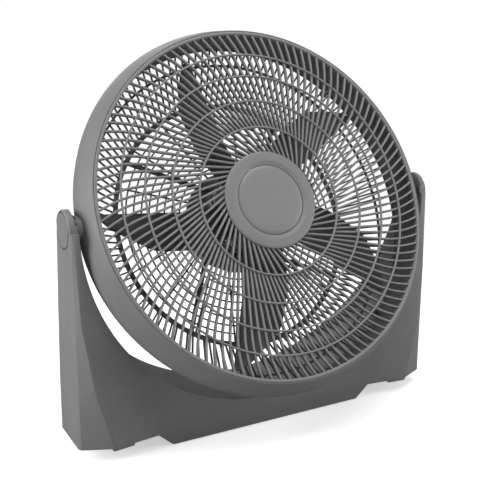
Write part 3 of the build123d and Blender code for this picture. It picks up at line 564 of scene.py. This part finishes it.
blade_plastic = moulded_plastic("blade_plastic", (0.115, 0.110, 0.112), 0.36, pebble=0.35)
dress(fan_blade, blade_plastic, "fan", ["fan_blade"])

# ---- Rear guard ----
# The guard behind the blade is a second moulding: a flat back of eight fine rings on 18 ribs
# inside a plain band, then a cone of 134 straight ribs and one ring. It ends in a flange that
# meets the drum, and four lugs take its screws.

back_depth = -80.0
band_radius = 182.0
flange_back = -25.0
flange_middle = -23.5
flange_front = -22.0
cone_rib_count = 134
back_rib_count = 18
back_rib_width = 2.2
back_ring_radii = [84.9 + 11.3 * step for step in range(8)]
back_ring_half = 1.1
lug_count = 4
lug_radius = 239.5
lug_start = 45.0

pieces = [
    turned("plate", [
        (48.0, -81.5, 0.5), (69.0, -81.5, 0.6), (75.0, -81.3, 0.6), (75.0, -78.6, 0.6),
        (48.0, -78.6, 0.5),
    ], steps=96),
    turned("band", [
        (175.4, -81.5, 0.7), (band_radius, -81.5, 1.2), (band_radius + 1.0, -78.5, 0.8),
        (175.4, -78.5, 0.7),
    ], steps=192),
    turned("flange", [
        (243.6, flange_back, 0.5), (251.8, flange_back, 0.8),
        (251.8, flange_front, 0.4), (243.6, flange_front, 0.5),
    ], steps=256),
    turned("cone_ring", [
        (226.0, -42.2, 0.7), (229.4, -41.0, 0.7), (229.4, -38.8, 0.7), (226.0, -39.8, 0.7),
    ], steps=256),
]
for radius in back_ring_radii:
    pieces.append(turned("ring", [
        (radius - back_ring_half, -81.2, 0.7), (radius + back_ring_half, -81.2, 0.7),
        (radius + back_ring_half, -79.0, 0.7), (radius - back_ring_half, -79.0, 0.7),
    ], steps=144))
inner = polar(66.0, 9.0, back_depth)
outer = polar(178.5, 17.5, back_depth)
pieces += all_round(bar("rib", [inner, outer], back_rib_width, 3.0, 0.6), back_rib_count)
cone_run = [Vector((180.0, 0, -80.2)), Vector((248.3, 0, flange_middle))]
pieces += all_round(bar("cone_rib", cone_run, back_rib_width, 2.8, 0.5), cone_rib_count)
lug = turned("lug", [(1.9, 0.0, 0.2), (6.0, 0.0, 0.6), (6.0, 3.0, 0.6), (1.9, 3.0, 0.2)], steps=32)
lug.data.transform(Matrix.Translation(Vector((lug_radius, 0, flange_back)) * mm))
pieces += all_round(lug, lug_count, lug_start)
rear_guard = joined("rear_guard", pieces)
rear_guard.data.transform(drum_place)
guard_plastic = moulded_plastic("guard_plastic", (0.150, 0.146, 0.148), 0.5)
dress(rear_guard, guard_plastic, "drum", ["rear_grille"])

# ---- Tilt pivots ----
# A round cap closes the bolt's recess in each leg. It is pressed in, with a rounded edge and a
# very slight dish. The steel shoulder bolt and the black washer stay hidden behind it.

caps = []
for side in (1, -1):
    cap = turned("cap", [
        (0.0, 274.1, 0), (22.5, 274.1, 0.3), (22.5, 277.2, 0.9), (20.8, 277.6, 0.8),
        (18.0, 277.3, 2.0), (0.0, 277.1, 0),
    ], steps=96, closed=False)
    cap.data.transform(Matrix.Translation(pivot) @ Matrix.Rotation(side * pi / 2, 4, "Y"))
    caps.append(cap)
pivot_caps = joined("round_caps", caps)
dress(pivot_caps, base_plastic, "base", ["pivot_caps"])
washer_plastic = moulded_plastic("washer_plastic", (0.05, 0.05, 0.05), 0.35, pebble=0.2)
dress(frame["nodes"]["pivot_washers"], washer_plastic, "base")

# ---- Feet and gland ----
# Four soft rubber pads are stuck under the middle of the base, and a rubber bush sits in the
# wall of the motor cover where the lead goes in. Both are near black and a little chalky.

foot_rubber = moulded_plastic("foot_rubber", (0.03, 0.03, 0.03), 0.72, pebble=1.6, drift=0.2)
feet = softened_copy("base_feet", 0.4 * mm)
dress(feet, foot_rubber, "base", ["base_feet"])
gland_rubber = moulded_plastic("gland_rubber", (0.032, 0.032, 0.033), 0.65, pebble=1.2, drift=0.2)
gland = softened_copy("cord_gland", 0.3 * mm, 40)
dress(gland, gland_rubber, "drum", ["cord_gland"])

# ---- Motor and bracket ----
# The motor hangs on a black painted steel cross. Its end bells are bare die castings, the core
# is a stack of varnished sheets, and the shaft, nut and screws are bright steel.

metal_shades = (0.8, 1.1)   # shares of the colour, tarnished and bright
metal_gloss = (-0.06, 0.08)
metal_strength = 0.5
stack_fleck = 0.12

# Worked metal: streaks or pits by the scales given, a slow tarnish, and a gloss that wanders.
skin, skin_in, skin_out = effect(
    "metal_skin", {"Across": 1500.0, "Along": 1500.0}, ("Height", "Tone", "Sheen")
)
place = add_node(skin, "TexCoord", {}).outputs["Object"]
scales = add_node(skin, "CombineXYZ", {
    "X": skin_in.outputs["Along"], "Y": skin_in.outputs["Across"], "Z": skin_in.outputs["Across"],
})
stretched = add_node(
    skin, "VectorMath", {0: place, 1: scales.outputs["Vector"]}, operation="MULTIPLY"
)
skin.links.new(noise(skin, stretched.outputs["Vector"], 1.0, 3.0), skin_out.inputs["Height"])
skin.links.new(noise(skin, place, 60.0, 5.0), skin_out.inputs["Tone"])
skin.links.new(noise(skin, place, 150.0, 4.0), skin_out.inputs["Sheen"])

# Sheets or turns side by side along the drum's axis: a groove at each, and its darker tone.
stack, stack_in, stack_out = effect("stacked_edges", {"Pitch": 0.0005}, ("Height", "Tone"))
place = add_node(stack, "TexCoord", {}).outputs["Object"]
depth_along = add_node(
    stack, "VectorMath", {0: place, 1: forward * tau}, operation="DOT_PRODUCT"
)
turns = add_node(stack, "Math", {
    0: depth_along.outputs["Value"], 1: stack_in.outputs["Pitch"],
}, operation="DIVIDE")
wave = add_node(stack, "Math", {0: turns.outputs[0]}, operation="SINE")
stack.links.new(wave.outputs[0], stack_out.inputs["Height"])
fleck = add_node(stack, "Math", {
    0: wave.outputs[0], 1: stack_fleck, 2: noise(stack, place, 220.0, 4.0),
}, operation="MULTIPLY_ADD")
stack.links.new(fleck.outputs[0], stack_out.inputs["Tone"])


def metal(
    name, colour, roughness, along=1500.0, across=1500.0, bite=0.02, metallic=1.0, pitch=0.0
):
    """Metal with streaks, pits or stacked edges, whose tone and gloss wander."""
    finish = bpy.data.materials.new(name)
    finish.use_nodes = True
    tree = finish.node_tree
    surface = add_node(tree, "Group", {"Along": along, "Across": across}, node_tree=skin)
    relief = add_node(tree, "Group", {"Pitch": pitch}, node_tree=stack) if pitch else surface
    shades = [[min(1.0, c * share) for c in colour] for share in metal_shades]
    gloss = stretch(tree, surface.outputs["Sheen"], *(roughness + drift for drift in metal_gloss))
    shader = surfaced(
        tree, relief.outputs["Tone"], shades, gloss, relief.outputs["Height"],
        metal_strength, bite * mm,
    )
    shader.inputs["Metallic"].default_value = metallic
    return finish


bracket_steel = metal("bracket_steel", (0.05, 0.05, 0.052), 0.45, bite=0.05, metallic=0.0)
bracket = softened_copy("motor_bracket", 0.4 * mm)
dress(bracket, bracket_steel, "drum", ["motor_bracket"])

cast_aluminium = metal("cast_aluminium", (0.60, 0.60, 0.60), 0.48, 700.0, 700.0, bite=0.12)
for node in ("motor_front_housing", "motor_rear_housing"):
    dress(softened_copy(node, 0.8 * mm), cast_aluminium, "drum", [node])

lamination_steel = metal("lamination_steel", (0.25, 0.25, 0.26), 0.42, bite=0.08, pitch=0.5 * mm)
core = softened_copy("stator_core", 0.3 * mm)
dress(core, lamination_steel, "drum", ["stator_core"])
dress(frame["nodes"]["rotor_core"], lamination_steel, "fan")

copper_wire = metal("copper_wire", (0.72, 0.30, 0.12), 0.3, bite=0.15, pitch=0.9 * mm)
dress(frame["nodes"]["stator_winding"], copper_wire, "drum")
bronze = metal("bronze", (0.55, 0.38, 0.20), 0.4, 900.0, 900.0, bite=0.05)
for node in ("front_bearing", "rear_bearing"):
    dress(frame["nodes"][node], bronze, "drum")
ground_steel = metal("ground_steel", (0.66, 0.66, 0.66), 0.22, 2600.0, 160.0, bite=0.01)
dress(frame["nodes"]["motor_shaft"], ground_steel, "fan")
zinc_steel = metal("zinc_steel", (0.62, 0.62, 0.60), 0.3, 1800.0, 300.0, bite=0.015)
dress(frame["nodes"]["pivot_bolts"], zinc_steel, "drum")
nut = softened_copy("blade_nut", 0.4 * mm, 35)
dress(nut, zinc_steel, "fan", ["blade_nut"])

# ---- Motor cover ----
# A round cup closes the back of the motor, moulded like the guard, with five vents across it.
# The speed knob stands on its back and turns the switch inside, next to the capacitor.

cover = softened_copy("motor_cover", 0.6 * mm, 25)
dress(cover, guard_plastic, "drum", ["motor_cover"])
knob_plastic = moulded_plastic("knob_plastic", (0.12, 0.118, 0.118), 0.38, pebble=0.4)
knob = softened_copy("speed_knob", 0.7 * mm, 25)
dress(knob, knob_plastic, "knob", ["speed_knob"])
switch_plastic = moulded_plastic("switch_plastic", (0.35, 0.33, 0.30), 0.42, pebble=0.5, drift=0.12)
switch = softened_copy("speed_switch", 0.5 * mm, 35)
dress(switch, switch_plastic, "drum", ["speed_switch"])
capacitor_case = moulded_plastic("capacitor_case", (0.02, 0.02, 0.022), 0.18, pebble=0.1, drift=0.15)
capacitor = softened_copy("run_capacitor", 1.2 * mm)
dress(capacitor, capacitor_case, "drum", ["run_capacitor"])

# ---- Screws ----
# All screws are zinc plated pan heads with a cross recess. One is made for each length and
# copied to every place where the CAD piece has one.

head_radius = 3.3
head_height = 2.3
shank_radius = 1.55
recess_length = 3.4
recess_width = 0.8
recess_depth = 1.2


def screw_places(node, facing):
    """Middle of each screw head's outer face, and the length behind it."""
    pick(frame["nodes"][node])
    bpy.ops.object.duplicate()
    whole = bpy.context.object
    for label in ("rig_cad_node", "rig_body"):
        del whole[label]
    whole.parent = None
    bpy.ops.object.mode_set(mode="EDIT")
    bpy.ops.mesh.select_all(action="SELECT")
    bpy.ops.mesh.remove_doubles(threshold=weld)
    bpy.ops.mesh.separate(type="LOOSE")
    bpy.ops.object.mode_set(mode="OBJECT")
    places = []
    for one in list(bpy.context.selected_objects):
        points = [vertex.co.copy() for vertex in one.data.vertices]
        reach = [point.dot(facing) for point in points]
        face = [point for point, value in zip(points, reach) if value > max(reach) - 0.05 * mm]
        places.append((sum(face, Vector()) / len(face), max(reach) - min(reach)))
        bpy.data.objects.remove(one)
    return places


def screws(node, facing, body):
    """Pan head screws in place of a CAD piece's plain ones."""
    places = screw_places(node, facing)
    tail = -places[0][1] / mm
    one = turned("screw", [
        (0.0, -0.05, 0), (1.9, -0.05, 0.6), (head_radius, -1.1, 0.6),
        (head_radius, -head_height, 0.2), (shank_radius, -head_height, 0.2),
        (shank_radius, tail + 0.8, 0.4), (0.0, tail, 0),
    ], steps=28, closed=False)
    for turn in (0, pi / 2):
        bpy.ops.object.select_all(action="DESELECT")
        bpy.ops.mesh.primitive_cube_add(size=1, rotation=(0, 0, turn))
        cutter = bpy.context.object
        cutter.scale = (recess_length * mm, recess_width * mm, 2 * recess_depth * mm)
        bpy.ops.object.transform_apply(location=True, rotation=True, scale=True)
        pick(one)
        cut = one.modifiers.new("recess", "BOOLEAN")
        cut.object = cutter
        cut.solver = "EXACT"
        bpy.ops.object.modifier_apply(modifier="recess")
        bpy.data.objects.remove(cutter)
    smooth(one, 35)
    driven = facing.to_track_quat("Z", "Y").to_matrix().to_4x4()
    heads = copied(one, [Matrix.Translation(spot) @ driven for spot, _ in places])
    dress(joined(node + "_heads", heads), zinc_steel, body, [node])


screws("base_screws", Vector((0, 1, 0)), "base")
for node in ("grille_screws", "bracket_screws", "cover_screws"):
    screws(node, -forward, "drum")
screws("motor_screws", forward, "drum")
